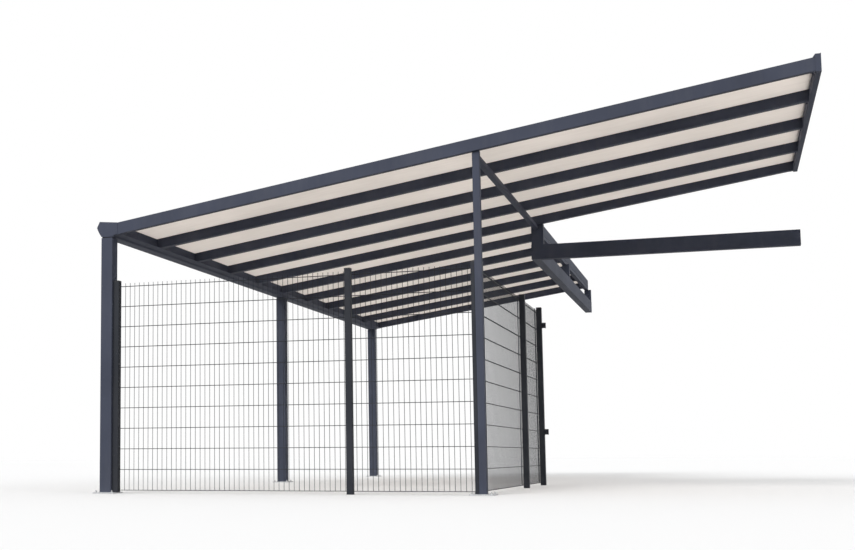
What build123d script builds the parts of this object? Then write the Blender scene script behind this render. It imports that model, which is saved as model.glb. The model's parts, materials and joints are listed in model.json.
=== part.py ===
from build123d import *
import math
import os

# A lean-to carport of powder-coated aluminium with a roof of twin-wall sheets.
# X runs from the gutter to the house, Y runs back, Z is up, in millimetres.
# The origin lies under the foot plate of the front gutter post.

# Roof
roof_slope = 8.64
eaves_height = 2640
gutter_inner_x = 115
wall_face_x = 6565
rafter_width = 80
rafter_depth = 95
rafter_wall = 2.5
seat_width = 92
seat_thickness = 3
groove_width = 5
groove_depth = 1.5
verge_width = 60
screw_channel_width = 16
screw_slot_width = 5
screw_slot_floor = 3
sheet_thickness = 16
sheet_clearance = 4
sheet_into_gutter = 45
cover_width = 60
cover_thickness = 3
cover_edge = 1.5

# Spaces between rafters, from the front edge to the rear edge
first_field = 975
full_field = 1040
fourth_field = 980
last_field = 1015
front_full_fields = 2
rear_full_fields = 5

# Gutter
gutter_width = 222
gutter_height = 156
gutter_foot_width = 169
gutter_bulge = 6
gutter_bulge_height = 97
gutter_brow = 29
gutter_above_sheet = 36
gutter_wall = 3
gutter_chamber = 56
gutter_nose = 35
gutter_lip = 12
end_cap_thickness = 4
ledge_length = 34
ledge_thickness = 4

# Posts
post_size = 120
post_wall = 3
mid_post_size = 65
stub_width = 140
rear_stub_size = 100
second_post_y = 5340
mid_line_x = 3670
head_thickness = 6
foot_plate_size = 220
foot_plate_thickness = 10
foot_hole_spacing = 170
foot_hole_diameter = 12

# Beams
mid_beam_width = 50
mid_beam_depth = 55
front_mid_beam_x = 3650
beam_wall = 3
wall_beam_width = 100
wall_beam_depth = 174
stub_height = 185
wall_beam_clearance = 4
trim_wall = 3
trim_cover = 60

# Wall plate on the house
wall_plate_thickness = 45
wall_plate_below_sheet = 106
wall_plate_above_sheet = 45
wall_plate_wall = 3
hood_length = 18
hood_lip = 4

# Mesh side screens
mesh_post_size = 60
slim_post_width = 36
mesh_post_wall = 2
mesh_post_above_mat = 16
mesh_rod = 6
mesh_wire = 5
mesh_rows = 10
mesh_row_pitch = 200
mesh_column_pitch = 200
mesh_above_ground = 26
mesh_tip = 30
mesh_joint = 4
clamp_width = 40
clamp_thickness = 5
bay_post_x = 2455
return_post_y = 2630

# Worked out from the values above
slope = math.radians(roof_slope)
rise = math.tan(slope)
slope_dir = Vector(math.cos(slope), 0, math.sin(slope))
slope_normal = Vector(-math.sin(slope), 0, math.cos(slope))
verge_y = (verge_width - post_size) / 2
gutter_top = eaves_height + gutter_above_sheet
gutter_bottom = gutter_top - gutter_height
gutter_chamber_x = gutter_inner_x - gutter_chamber
gutter_nose_x = gutter_inner_x - gutter_nose
wall_plate_x = wall_face_x - wall_plate_thickness
stub_left_x = mid_line_x - stub_width / 2
rear_edge_x = stub_left_x + mid_beam_width
side_beam_x = stub_left_x + wall_beam_width / 2
mat_thickness = 2 * mesh_rod + mesh_wire
far = 30000


def rafter_places():
    fields = [first_field] + [full_field] * front_full_fields + [fourth_field]
    fields += [full_field] * rear_full_fields + [last_field]
    places = [verge_y]
    for field in fields:
        places.append(places[-1] + field)
    return places


rafters = rafter_places()
long_rafters = front_full_fields + 3
break_y = rafters[long_rafters - 1]
wall_beam_y = break_y + seat_width / 2 + wall_beam_clearance
roof_front = verge_y - verge_width / 2
roof_rear = rafters[-1] + verge_width / 2
last_post_y = roof_rear - post_size / 2
gutter_posts = [0, second_post_y, last_post_y]
rear_stub_places = [(wall_beam_y + last_post_y) / 2, last_post_y]


def sheet_height(x):
    return eaves_height + rise * (x - gutter_inner_x)


def depth_height(x, depth):
    return sheet_height(x) - depth / math.cos(slope)


wall_beam_top = depth_height(mid_line_x, rafter_depth + mid_beam_depth) - stub_height
mesh_post_height = mesh_above_ground + mesh_rows * mesh_row_pitch + mesh_rod + mesh_tip + mesh_post_above_mat


def save(name, shape):
    shape.label = name
    export_step(shape, "parts/" + name + ".step")


def together(solids):
    return Compound(children=list(solids))


def rectangle(low_u, high_u, low_v, high_v):
    return Pos((low_u + high_u) / 2, (low_v + high_v) / 2) * Rectangle(high_u - low_u, high_v - low_v)


def hollow(low_u, high_u, low_v, high_v, wall):
    inside = rectangle(low_u + wall, high_u - wall, low_v + wall, high_v - wall)
    return rectangle(low_u, high_u, low_v, high_v) - inside


def block(low_x, high_x, low_y, high_y, low_z, high_z):
    centre = Pos((low_x + high_x) / 2, (low_y + high_y) / 2, (low_z + high_z) / 2)
    return centre * Box(high_x - low_x, high_y - low_y, high_z - low_z)


# A section with u along Y and v square to the roof runs up the slope between two plumb cuts
def along_slope(section, y, start_x, end_x):
    middle = (start_x + end_x) / 2
    start = Plane(origin=(middle, y, sheet_height(middle)), x_dir=(0, 1, 0), z_dir=slope_dir)
    reach = (end_x - start_x) / 2 + 400
    bar = extrude(start * section, amount=reach, both=True)
    return bar & block(start_x, end_x, y - far, y + far, 0, far)


# A section with X and Z as drawn runs straight back
def along_back(section, start_y, end_y):
    start = Plane(origin=(0, start_y, 0), x_dir=(1, 0, 0), z_dir=(0, -1, 0))
    return extrude(start * section, amount=start_y - end_y)


def square_tube(x, y, size_x, size_y, low_z, high_z, wall):
    ring = hollow(-size_x / 2, size_x / 2, -size_y / 2, size_y / 2, wall)
    return extrude(Pos(x, y, low_z) * ring, amount=high_z - low_z)


# What lies under a plane that follows the roof at a depth below the sheets
def below_roof(shape, x, y, depth):
    top = Plane(origin=(x, y, depth_height(x, depth)), x_dir=(0, 1, 0), z_dir=slope_normal)
    return shape & (top * Pos(0, 0, -far / 2) * Box(far, far, far))


def screw_channel():
    half = screw_channel_width / 2
    solid = rectangle(-half, half, -seat_thickness, sheet_thickness)
    slot = rectangle(-screw_slot_width / 2, screw_slot_width / 2, screw_slot_floor, sheet_thickness + 1)
    return solid - slot


def rafter_section():
    half = rafter_width / 2
    section = hollow(-half, half, -rafter_depth, 0, rafter_wall)
    section += rectangle(-seat_width / 2, seat_width / 2, -seat_thickness, 0)
    section += screw_channel()
    for side in (-1, 1):
        groove = side * (seat_width / 2 - 1.5 * groove_width)
        section -= rectangle(groove - groove_width / 2, groove + groove_width / 2, -groove_depth, 1)
    return section


# The upstand closes the sheet's side on the outer face
def verge_section(outward):
    half = verge_width / 2
    section = hollow(-half, half, -rafter_depth, 0, rafter_wall)
    face = outward * half
    inner = face - outward * rafter_wall
    return section + rectangle(min(face, inner), max(face, inner), -rafter_wall, sheet_thickness)


def cover_section(width):
    half = width / 2
    top = sheet_thickness + cover_thickness
    points = [(-half, sheet_thickness), (half, sheet_thickness), (half, top - cover_edge)]
    points += [(half - cover_edge, top), (cover_edge - half, top), (-half, top - cover_edge)]
    return make_face(Polyline(*points, close=True))


def rafter_end(number):
    return wall_plate_x if number <= long_rafters else rear_edge_x


def save_rafters():
    for number, y in enumerate(rafters, start=1):
        section = rafter_section()
        name = "rafter_" + str(number)
        if number == 1:
            section = verge_section(-1)
            name = "front_verge_rafter"
        if number == len(rafters):
            section = verge_section(1)
            name = "rear_verge_rafter"
        save(name, along_slope(section, y, gutter_inner_x, rafter_end(number)))


def sheet_edge(number, side):
    y = rafters[number - 1]
    if number in (1, len(rafters)):
        return y - side * (verge_width / 2 - rafter_wall - sheet_clearance)
    return y + side * (screw_channel_width / 2 + sheet_clearance)


def save_sheets():
    for number in range(1, len(rafters)):
        low = sheet_edge(number, 1)
        high = sheet_edge(number + 1, -1)
        half = (high - low) / 2
        section = rectangle(-half, half, 0, sheet_thickness)
        sheet = along_slope(section, low + half, gutter_inner_x - sheet_into_gutter, rafter_end(number + 1))
        save("roof_sheet_" + str(number), sheet)


def save_covers():
    strips = []
    for number, y in enumerate(rafters, start=1):
        width = verge_width if number in (1, len(rafters)) else cover_width
        end = wall_plate_x if number <= long_rafters else rear_edge_x - trim_cover
        strips.append(along_slope(cover_section(width), y, gutter_inner_x - sheet_into_gutter, end))
    save("cover_strips", together(strips))


# The outer face bulges, then leans in to the brow
def gutter_outline(inset, inner_side):
    foot_x = gutter_inner_x - gutter_foot_width + inset
    outer_x = gutter_inner_x - gutter_width + inset
    low = gutter_bottom + inset
    shoulder = gutter_bottom + gutter_bulge_height
    middle = ((foot_x + outer_x) / 2 - gutter_bulge, (low + shoulder) / 2)
    curve = ThreePointArc((foot_x, low), middle, (outer_x, shoulder))
    rest = Polyline((outer_x, shoulder), (outer_x + gutter_brow, gutter_top), *inner_side, (foot_x, low))
    return make_face(curve + rest)


# The inner side steps in under the rafters' ends
def gutter_inner_side(top, depth):
    points = [(gutter_inner_x, top), (gutter_inner_x, depth_height(gutter_inner_x, depth))]
    points += [(gutter_nose_x, depth_height(gutter_nose_x, depth))]
    return points + [(gutter_chamber_x + gutter_wall, gutter_bottom)]


def sloped_strip(start_x, end_x, depth, thickness):
    points = [(start_x, depth_height(start_x, depth)), (end_x, depth_height(end_x, depth))]
    points += [(end_x, depth_height(end_x, depth + thickness))]
    points += [(start_x, depth_height(start_x, depth + thickness))]
    return make_face(Polyline(*points, close=True))


def gutter_chamber_face():
    low_x = gutter_chamber_x + gutter_wall
    high_x = gutter_inner_x - gutter_wall
    depth = rafter_depth + ledge_thickness
    points = [(low_x, gutter_bottom + 2 * gutter_wall)]
    points += [(x, depth_height(x, depth) + gutter_wall) for x in (gutter_nose_x, high_x)]
    points += [(high_x, sheet_height(gutter_chamber_x) - gutter_wall)]
    points += [(low_x, sheet_height(gutter_chamber_x) - gutter_wall)]
    return make_face(Polyline(*points, close=True))


def gutter_section():
    channel = [(gutter_chamber_x, gutter_top), (gutter_chamber_x, gutter_bottom + gutter_wall)]
    inner_side = gutter_inner_side(gutter_top, rafter_depth + ledge_thickness)
    section = gutter_outline(0, inner_side) - gutter_outline(gutter_wall, channel)
    points = [(gutter_chamber_x, sheet_height(gutter_chamber_x)), (gutter_inner_x, eaves_height)]
    points += [(gutter_inner_x, gutter_top + 1), (gutter_chamber_x, gutter_top + 1)]
    section -= make_face(Polyline(*points, close=True))
    section -= gutter_chamber_face()
    brow_x = gutter_inner_x - gutter_width + gutter_brow
    section += rectangle(brow_x, brow_x + gutter_lip, gutter_top - gutter_wall, gutter_top)
    return section + sloped_strip(gutter_inner_x, gutter_inner_x + ledge_length, rafter_depth, ledge_thickness)


def save_gutter():
    save("gutter_beam", along_back(gutter_section(), roof_front, roof_rear))
    cover_top = depth_height(gutter_inner_x, -(sheet_thickness + cover_thickness))
    cap = gutter_outline(0, gutter_inner_side(cover_top, rafter_depth))
    front = along_back(cap, roof_front - end_cap_thickness, roof_front)
    rear = along_back(cap, roof_rear, roof_rear + end_cap_thickness)
    save("gutter_end_caps", together([front, rear]))


def save_gutter_posts():
    names = ["front_gutter_post", "middle_gutter_post", "rear_gutter_post"]
    for name, y in zip(names, gutter_posts):
        save(name, square_tube(0, y, post_size, post_size, foot_plate_thickness, gutter_bottom, post_wall))


# A post that carries the roof has a head plate that follows the slope
def roof_post(x, y, size_x, size_y, low_z, depth):
    tall = eaves_height + rise * wall_face_x
    tube = below_roof(square_tube(x, y, size_x, size_y, low_z, tall, post_wall), x, y, depth)
    solid = block(x - size_x / 2, x + size_x / 2, y - size_y / 2, y + size_y / 2, low_z, tall)
    head = below_roof(solid, x, y, depth)
    return tube + (head - below_roof(solid, x, y, depth + head_thickness))


def save_roof_posts():
    size = mid_post_size
    save("front_mid_post", roof_post(mid_line_x, 0, size, size, foot_plate_thickness, rafter_depth))
    stub = roof_post(mid_line_x, wall_beam_y, stub_width, wall_beam_width, wall_beam_top, rafter_depth)
    save("front_stub_post", stub)
    size = rear_stub_size
    depth = rafter_depth + mid_beam_depth
    rear = [roof_post(side_beam_x, y, size, size, wall_beam_top, depth) for y in rear_stub_places]
    save("rear_stub_posts", together(rear))


def foot_plate(x, y):
    half = foot_plate_size / 2
    plate = block(x - half, x + half, y - half, y + half, 0, foot_plate_thickness)
    for across in (-1, 1):
        for back in (-1, 1):
            place = Pos(x + across * foot_hole_spacing / 2, y + back * foot_hole_spacing / 2, 0)
            plate -= place * Cylinder(foot_hole_diameter / 2, 4 * foot_plate_thickness)
    return plate


def save_foot_plates():
    plates = [foot_plate(0, y) for y in gutter_posts]
    plates.append(foot_plate(mid_line_x, 0))
    save("foot_plates", together(plates))


# The mid beam leans with the roof, so that every rafter bears flat on it
def mid_beam(x, start_y, end_y):
    half = mid_beam_width / 2
    top = Plane(origin=(x, start_y, depth_height(x, rafter_depth)), x_dir=slope_dir, z_dir=(0, -1, 0))
    ring = hollow(-half, half, -mid_beam_depth, 0, beam_wall)
    return extrude(top * ring, amount=start_y - end_y)


def save_beams():
    rear_x = rear_edge_x - mid_beam_width / 2
    half = wall_beam_width / 2
    save("front_mid_beam", mid_beam(front_mid_beam_x, mid_post_size / 2, wall_beam_y - half))
    save("rear_mid_beam", mid_beam(rear_x, wall_beam_y + half, roof_rear))
    low = wall_beam_top - wall_beam_depth
    ring = hollow(-half, half, low, wall_beam_top, beam_wall)
    start = Plane(origin=(stub_left_x, wall_beam_y, 0), x_dir=(0, 1, 0), z_dir=(1, 0, 0))
    beam = extrude(start * ring, amount=wall_face_x - stub_left_x)
    beam += block(wall_face_x - head_thickness, wall_face_x, wall_beam_y - half, wall_beam_y + half,
                  low, wall_beam_top)
    save("house_wall_beam", beam)
    save("side_wall_beam", along_back(Pos(side_beam_x, 0) * ring, wall_beam_y + half, roof_rear))


# A hood slopes from the plate's top down on to the cover strips
def wall_plate_outline():
    low = sheet_height(wall_plate_x) - wall_plate_below_sheet
    high = sheet_height(wall_plate_x) + wall_plate_above_sheet
    top = -(sheet_thickness + cover_thickness)
    lip_x = wall_plate_x - hood_length
    lip_low = depth_height(lip_x, top)
    points = [(wall_plate_x, low), (wall_face_x, low), (wall_face_x, high), (wall_plate_x, high)]
    points += [(lip_x, lip_low + hood_lip), (lip_x, lip_low), (wall_plate_x, depth_height(wall_plate_x, top))]
    return make_face(Polyline(*points, close=True))


def wall_plate_section():
    wall = wall_plate_wall
    low = sheet_height(wall_plate_x) - wall_plate_below_sheet + wall
    inside = rectangle(wall_plate_x + wall, wall_face_x - wall, low, sheet_height(wall_plate_x))
    return wall_plate_outline() - inside


def save_wall_plate():
    rear = break_y + rafter_width / 2
    save("wall_plate", along_back(wall_plate_section(), roof_front, rear))
    cap = wall_plate_outline()
    front = along_back(cap, roof_front - end_cap_thickness, roof_front)
    back = along_back(cap, rear, rear + end_cap_thickness)
    save("wall_plate_end_caps", together([front, back]))


# A trim closes the upper ends of the short rafters and sheets
def save_edge_trim():
    end = rear_edge_x + trim_wall
    top = -(sheet_thickness + cover_thickness)
    section = sloped_strip(rear_edge_x, end, top, rafter_depth - top)
    section += sloped_strip(rear_edge_x - trim_cover, end, top, cover_thickness)
    save("rear_edge_trim", along_back(section, break_y + seat_width / 2, roof_rear))


def mesh_post(x, y, size_x, size_y, foot=0):
    return square_tube(x, y, size_x, size_y, foot, mesh_post_height, mesh_post_wall)


corner_mesh_x = (post_size + mesh_post_size) / 2
slim_x = mid_line_x - (mid_post_size + slim_post_width) / 2
slim_y = (mid_post_size + slim_post_width) / 2
wall_mesh_y = wall_beam_y - (wall_beam_width + mesh_post_size) / 2


def save_mesh_posts():
    plate = foot_plate_thickness
    save("corner_mesh_post", mesh_post(corner_mesh_x, 0, mesh_post_size, mesh_post_size, plate))
    save("bay_mesh_post", mesh_post(bay_post_x, 0, mesh_post_size, mesh_post_size))
    front = mesh_post(slim_x, 0, slim_post_width, mesh_post_size, plate)
    back = mesh_post(mid_line_x, slim_y, mesh_post_size, slim_post_width, plate)
    save("slim_mesh_posts", together([front, back]))
    save("return_mesh_post", mesh_post(mid_line_x, return_post_y, mesh_post_size, mesh_post_size))
    save("wall_mesh_post", mesh_post(mid_line_x, wall_mesh_y, mesh_post_size, mesh_post_size))


# A welded mat in its own plane, with its lower left corner at the origin
def mat_face(width):
    height = mesh_rows * mesh_row_pitch + mesh_rod
    columns = max(1, round((width - mesh_rod) / mesh_column_pitch))
    pitch = (width - mesh_rod) / columns
    face = rectangle(0, width, 0, height)
    gaps = []
    for column in range(columns):
        for row in range(mesh_rows):
            left = mesh_rod + column * pitch
            low = mesh_rod + row * mesh_row_pitch
            gaps.append(rectangle(left, left + pitch - mesh_rod, low, low + mesh_row_pitch - mesh_rod))
    tips = []
    for column in range(columns + 1):
        tips.append(rectangle(column * pitch, column * pitch + mesh_rod, height, height + mesh_tip))
    return face - gaps + tips


# The mats lie on the bay's side of the posts, and the clamp bars hold them there
front_mat_y = mesh_post_size / 2
side_mat_x = mid_line_x - mesh_post_size / 2
front_clamp_y = front_mat_y + mat_thickness
side_clamp_x = side_mat_x - mat_thickness
front_mats_end = side_clamp_x - clamp_thickness - mesh_joint / 2
side_mats_start = front_clamp_y + clamp_thickness + mesh_joint / 2


def front_mat(start_x, end_x):
    plane = Plane(origin=(start_x, front_clamp_y, mesh_above_ground), x_dir=(1, 0, 0), z_dir=(0, -1, 0))
    return extrude(plane * mat_face(end_x - start_x), amount=mat_thickness)


def side_mat(start_y, end_y):
    plane = Plane(origin=(side_clamp_x, start_y, mesh_above_ground), x_dir=(0, 1, 0), z_dir=(1, 0, 0))
    return extrude(plane * mat_face(end_y - start_y), amount=mat_thickness)


def save_mesh_panels():
    half = mesh_post_size / 2
    gap = mesh_joint / 2
    save("wide_mesh_panel", front_mat(corner_mesh_x - half, bay_post_x - gap))
    save("narrow_mesh_panel", front_mat(bay_post_x + gap, front_mats_end))
    save("return_mesh_panel", side_mat(side_mats_start, return_post_y - gap))
    save("wall_mesh_panel", side_mat(return_post_y + gap, wall_mesh_y + half))


def front_clamp(start_x, end_x):
    return block(start_x, end_x, front_clamp_y, front_clamp_y + clamp_thickness, mesh_above_ground,
                 mesh_post_height)


def side_clamp(start_y, end_y):
    return block(side_clamp_x - clamp_thickness, side_clamp_x, start_y, end_y, mesh_above_ground,
                 mesh_post_height)


def save_clamps():
    half = clamp_width / 2
    bars = [front_clamp(x - half, x + half) for x in (corner_mesh_x, bay_post_x)]
    bars.append(front_clamp(slim_x - slim_post_width / 2, front_mats_end))
    bars.append(side_clamp(side_mats_start, slim_y + slim_post_width / 2))
    bars += [side_clamp(y - half, y + half) for y in (return_post_y, wall_mesh_y)]
    save("mesh_clamp_bars", together(bars))


os.makedirs("parts", exist_ok=True)
save_rafters()
save_sheets()
save_covers()
save_gutter()
save_gutter_posts()
save_roof_posts()
save_foot_plates()
save_beams()
save_wall_plate()
save_edge_trim()
save_mesh_posts()
save_mesh_panels()
save_clamps()
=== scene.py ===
import json
import math

import bmesh
import bpy
from mathutils import Matrix, Vector


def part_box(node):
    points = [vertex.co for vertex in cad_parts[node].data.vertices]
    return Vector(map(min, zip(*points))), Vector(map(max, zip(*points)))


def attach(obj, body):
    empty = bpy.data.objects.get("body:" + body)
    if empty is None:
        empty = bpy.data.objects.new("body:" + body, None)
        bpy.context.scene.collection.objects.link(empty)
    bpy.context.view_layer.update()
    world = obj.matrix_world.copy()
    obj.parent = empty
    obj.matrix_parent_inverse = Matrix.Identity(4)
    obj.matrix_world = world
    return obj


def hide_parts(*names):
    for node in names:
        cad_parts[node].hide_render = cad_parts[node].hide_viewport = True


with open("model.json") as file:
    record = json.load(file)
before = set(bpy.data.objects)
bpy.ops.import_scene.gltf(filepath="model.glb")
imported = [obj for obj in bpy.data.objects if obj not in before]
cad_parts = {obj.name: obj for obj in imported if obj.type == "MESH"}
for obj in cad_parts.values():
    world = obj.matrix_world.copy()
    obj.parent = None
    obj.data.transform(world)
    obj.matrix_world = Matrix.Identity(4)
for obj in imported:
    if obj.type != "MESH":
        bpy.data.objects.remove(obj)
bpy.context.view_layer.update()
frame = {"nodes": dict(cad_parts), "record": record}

bl_info = {
    "name": "Lean-to carport",
    "version": (1, 0, 0),
    "blender": (4, 5, 0),
    "location": "3D View > Sidebar > Carport",
    "description": "Dresses the carport's frame with sheets, seals, fixings, wire mats and finishes",
    "category": "Object",
}

ROOT = "root"
IMAGE_WIDTH = 855
IMAGE_HEIGHT = 550
SENSOR_WIDTH = 36.0

# The roof plane, which is the underside of the sheets
ROOF_SLOPE = math.radians(8.64)
EAVES_X = 0.115
EAVES_Z = 2.640
UP_SLOPE = Vector((math.cos(ROOF_SLOPE), 0, math.sin(ROOF_SLOPE)))
ROOF_NORMAL = Vector((-math.sin(ROOF_SLOPE), 0, math.cos(ROOF_SLOPE)))
SHEET = 0.016
COVER = 0.003
RAFTER_DEPTH = 0.095
BEAM_DEPTH = 0.055
BEAM_WIDTH = 0.050
LEDGE = 0.004
SEAT_HALF = 0.046
VERGE_HALF = 0.030
COVER_HALF = 0.030

INNER_RAFTERS = ["rafter_" + str(number) for number in range(2, 11)]
RAFTERS = ["front_verge_rafter"] + INNER_RAFTERS + ["rear_verge_rafter"]
SHEETS = ["roof_sheet_" + str(number) for number in range(1, 11)]
MATS = ["wide_mesh_panel", "narrow_mesh_panel", "return_mesh_panel", "wall_mesh_panel"]
MESH_POSTS = ["corner_mesh_post", "bay_mesh_post", "slim_mesh_posts", "return_mesh_post", "wall_mesh_post"]
GUTTER_POSTS = ["front_gutter_post", "middle_gutter_post", "rear_gutter_post"]

finishes = {}


def low_high(node):
    low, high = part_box(node)
    return Vector(low), Vector(high)


def middle(node):
    low, high = low_high(node)
    return (low + high) / 2


def is_verge(node):
    return "verge" in node


# The long rafters reach the house, and the short ones end at the mid line
def is_long(node):
    return low_high(node)[1].x > middle("house_wall_beam").x


def roof_point(x, y, up=0.0):
    height = EAVES_Z + (x - EAVES_X) * math.tan(ROOF_SLOPE)
    return Vector((x, y, height + up / math.cos(ROOF_SLOPE)))


# A matrix whose Z is the given direction, and whose X leans to the other one
def axes(origin, along, across):
    z = Vector(along).normalized()
    x = Vector(across)
    x = (x - z * z.dot(x)).normalized()
    turn = Matrix((x, z.cross(x), z)).transposed().to_4x4()
    return Matrix.Translation(Vector(origin)) @ turn


def on_roof(x, y, up):
    return axes(roof_point(x, y, up), ROOF_NORMAL, UP_SLOPE)


def under_roof(x, y, up):
    return axes(roof_point(x, y, up), -ROOF_NORMAL, UP_SLOPE)


def spread(low, high, pitch, margin):
    count = max(2, round((high - low - 2 * margin) / pitch) + 1)
    step = (high - low - 2 * margin) / (count - 1)
    return [low + margin + step * index for index in range(count)]


# Outlines, as points on a plane

def rounded(width, depth, radius, steps=3):
    points = []
    for side_x, side_y, start in ((1, 1, 0), (-1, 1, 90), (-1, -1, 180), (1, -1, 270)):
        for step in range(steps + 1):
            around = math.radians(start + 90 * step / steps)
            points.append((side_x * (width / 2 - radius) + radius * math.cos(around),
                           side_y * (depth / 2 - radius) + radius * math.sin(around)))
    return points


def circle(radius, sides):
    return [(radius * math.cos(2 * math.pi * index / sides), radius * math.sin(2 * math.pi * index / sides))
            for index in range(sides)]


def at(matrix, outline, height):
    return [matrix @ Vector((u, v, height)) for u, v in outline]


# Solids, added to a bmesh

def add_skin(bm, rings, closed=True):
    loops = [[bm.verts.new(point) for point in ring] for ring in rings]
    for low, high in zip(loops, loops[1:]):
        for index in range(len(low)):
            after = (index + 1) % len(low)
            bm.faces.new((low[index], low[after], high[after], high[index]))
    if closed:
        bm.faces.new(list(reversed(loops[0])))
        bm.faces.new(loops[-1])
    return loops


# A skin whose last ring joins the first, as on a washer or a tube
def add_band(bm, rings):
    loops = add_skin(bm, rings, False)
    first, last = loops[0], loops[-1]
    for index in range(len(first)):
        after = (index + 1) % len(first)
        bm.faces.new((last[index], last[after], first[after], first[index]))


def add_block(bm, matrix, width, depth, height, edge=0.0006):
    full = rounded(width, depth, edge, 2)
    small = rounded(width - 1.2 * edge, depth - 1.2 * edge, edge / 2, 2)
    add_skin(bm, [at(matrix, small, 0), at(matrix, full, edge), at(matrix, full, height - edge),
                  at(matrix, small, height)])


def add_lathe(bm, matrix, profile, sides):
    add_skin(bm, [at(matrix, circle(radius, sides), height) for radius, height in profile])


def add_rod(bm, start, end, radius, sides=8):
    along = Vector(end) - Vector(start)
    across = (0, 0, 1) if abs(along.z) < abs(along.x) + abs(along.y) else (1, 0, 0)
    soft = radius * 0.35
    span = along.length
    profile = [(radius - soft, 0), (radius, soft), (radius, span - soft), (radius - soft, span)]
    add_lathe(bm, axes(start, along, across), profile, sides)


# A closed outline across the roof, run up the slope between two plumb cuts
def add_roof_bar(bm, outline, y, start_x, end_x):
    add_skin(bm, [[roof_point(x, y + across, up) for across, up in outline] for x in (start_x, end_x)])


# A closed outline in X and Z, run straight back
def add_back_bar(bm, outline, start_y, end_y):
    add_skin(bm, [[Vector((x, y, z)) for x, z in outline] for y in (start_y, end_y)])


def box_outline(low_u, high_u, low_v, high_v):
    return [(low_u, low_v), (high_u, low_v), (high_u, high_v), (low_u, high_v)]


def add_hex_bolt(bm, matrix, radius, height, washer):
    thick = height * 0.28
    add_lathe(bm, matrix, [(washer, 0), (washer, thick * 0.7), (washer * 0.95, thick)], 20)
    head = matrix @ Matrix.Translation((0, 0, thick))
    add_lathe(bm, head, [(radius, 0), (radius, height * 0.62), (radius * 0.86, height * 0.72)], 6)


def add_dome_screw(bm, matrix, radius, height):
    socket = radius * 0.42
    dome = [(radius, 0), (radius, height * 0.3), (radius * 0.93, height * 0.6), (radius * 0.72, height * 0.9)]
    recess = [(socket, height), (socket, height * 0.45), (socket * 0.3, height * 0.4)]
    add_lathe(bm, matrix, dome + recess, 12)


def make_piece(name, bm, finish, replaced=()):
    bmesh.ops.recalc_face_normals(bm, faces=bm.faces)
    mesh = bpy.data.meshes.new(name)
    bm.to_mesh(mesh)
    bm.free()
    mesh.materials.append(finishes[finish])
    piece = bpy.data.objects.new(name, mesh)
    bpy.context.scene.collection.objects.link(piece)
    if replaced:
        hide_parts(*replaced)
    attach(piece, ROOT)
    return piece


# Finishes

def new_finish(name):
    finish = bpy.data.materials.new(name)
    finish.use_nodes = True
    finishes[name] = finish
    return finish.node_tree, finish.node_tree.nodes["Principled BSDF"]


def add_node(tree, kind, inputs=(), **settings):
    node = tree.nodes.new(kind)
    for key, value in settings.items():
        setattr(node, key, value)
    for key, value in inputs:
        if isinstance(value, bpy.types.NodeSocket):
            tree.links.new(value, node.inputs[key])
        else:
            node.inputs[key].default_value = value
    return node


def places(tree, scale=(1, 1, 1), turn=0.0):
    source = add_node(tree, "ShaderNodeTexCoord").outputs["Object"]
    settings = (("Vector", source), ("Scale", scale), ("Rotation", (0, turn, 0)))
    return add_node(tree, "ShaderNodeMapping", settings).outputs["Vector"]


def noise(tree, where, scale, detail=2.0, rough=0.5):
    settings = (("Vector", where), ("Scale", scale), ("Detail", detail), ("Roughness", rough))
    return add_node(tree, "ShaderNodeTexNoise", settings).outputs["Fac"]


def remap(tree, value, low, high, out_low, out_high):
    given = (("Value", value), ("From Min", low), ("From Max", high))
    wanted = (("To Min", out_low), ("To Max", out_high))
    return add_node(tree, "ShaderNodeMapRange", given + wanted).outputs["Result"]


def times(tree, first, second):
    return add_node(tree, "ShaderNodeMath", ((0, first), (1, second)), operation="MULTIPLY").outputs[0]


def blend_colour(tree, share, first, second):
    node = add_node(tree, "ShaderNodeMix", data_type="RGBA")
    for key, value in ((0, share), (6, first), (7, second)):
        if isinstance(value, bpy.types.NodeSocket):
            tree.links.new(value, node.inputs[key])
        else:
            node.inputs[key].default_value = value
    return node.outputs[2]


def add_bump(tree, shader, height, strength, distance):
    settings = (("Height", height), ("Strength", strength), ("Distance", distance))
    tree.links.new(add_node(tree, "ShaderNodeBump", settings).outputs["Normal"], shader.inputs["Normal"])


def set_roughness(tree, shader, value, smooth, rough):
    tree.links.new(remap(tree, value, 0.3, 0.7, smooth, rough), shader.inputs["Roughness"])


def shade(colour, share):
    return tuple(value * share for value in colour[:3]) + (1.0,)


def facing_up(tree):
    normal = add_node(tree, "ShaderNodeNewGeometry").outputs["Normal"]
    parts = add_node(tree, "ShaderNodeSeparateXYZ", (("Vector", normal),))
    return remap(tree, parts.outputs["Z"], 0.6, 0.97, 0.0, 1.0)


def coated_finish(name, colour, dust, roughness, grain):
    tree, shader = new_finish(name)
    plain = places(tree)
    broad = noise(tree, plain, 1.3, 4.0)
    streaks = noise(tree, places(tree, (7, 7, 1.2)), 1.0, 4.0, 0.6)
    specks = noise(tree, plain, 26.0, 4.0, 0.6)
    base = blend_colour(tree, remap(tree, broad, 0.3, 0.7, 0, 1), shade(colour, 0.86), shade(colour, 1.16))
    base = blend_colour(tree, remap(tree, streaks, 0.45, 0.8, 0, 0.06), base, dust)
    settled = times(tree, facing_up(tree), remap(tree, specks, 0.3, 0.75, 0.08, 0.24))
    base = blend_colour(tree, settled, base, dust)
    tree.links.new(base, shader.inputs["Base Color"])
    uneven = remap(tree, streaks, 0.3, 0.75, roughness - 0.03, roughness + 0.06)
    tree.links.new(uneven, shader.inputs["Roughness"])
    shader.inputs["Specular IOR Level"].default_value = 0.06
    add_bump(tree, shader, noise(tree, plain, grain, 2.0, 0.6), 0.22, 0.0005)


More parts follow.
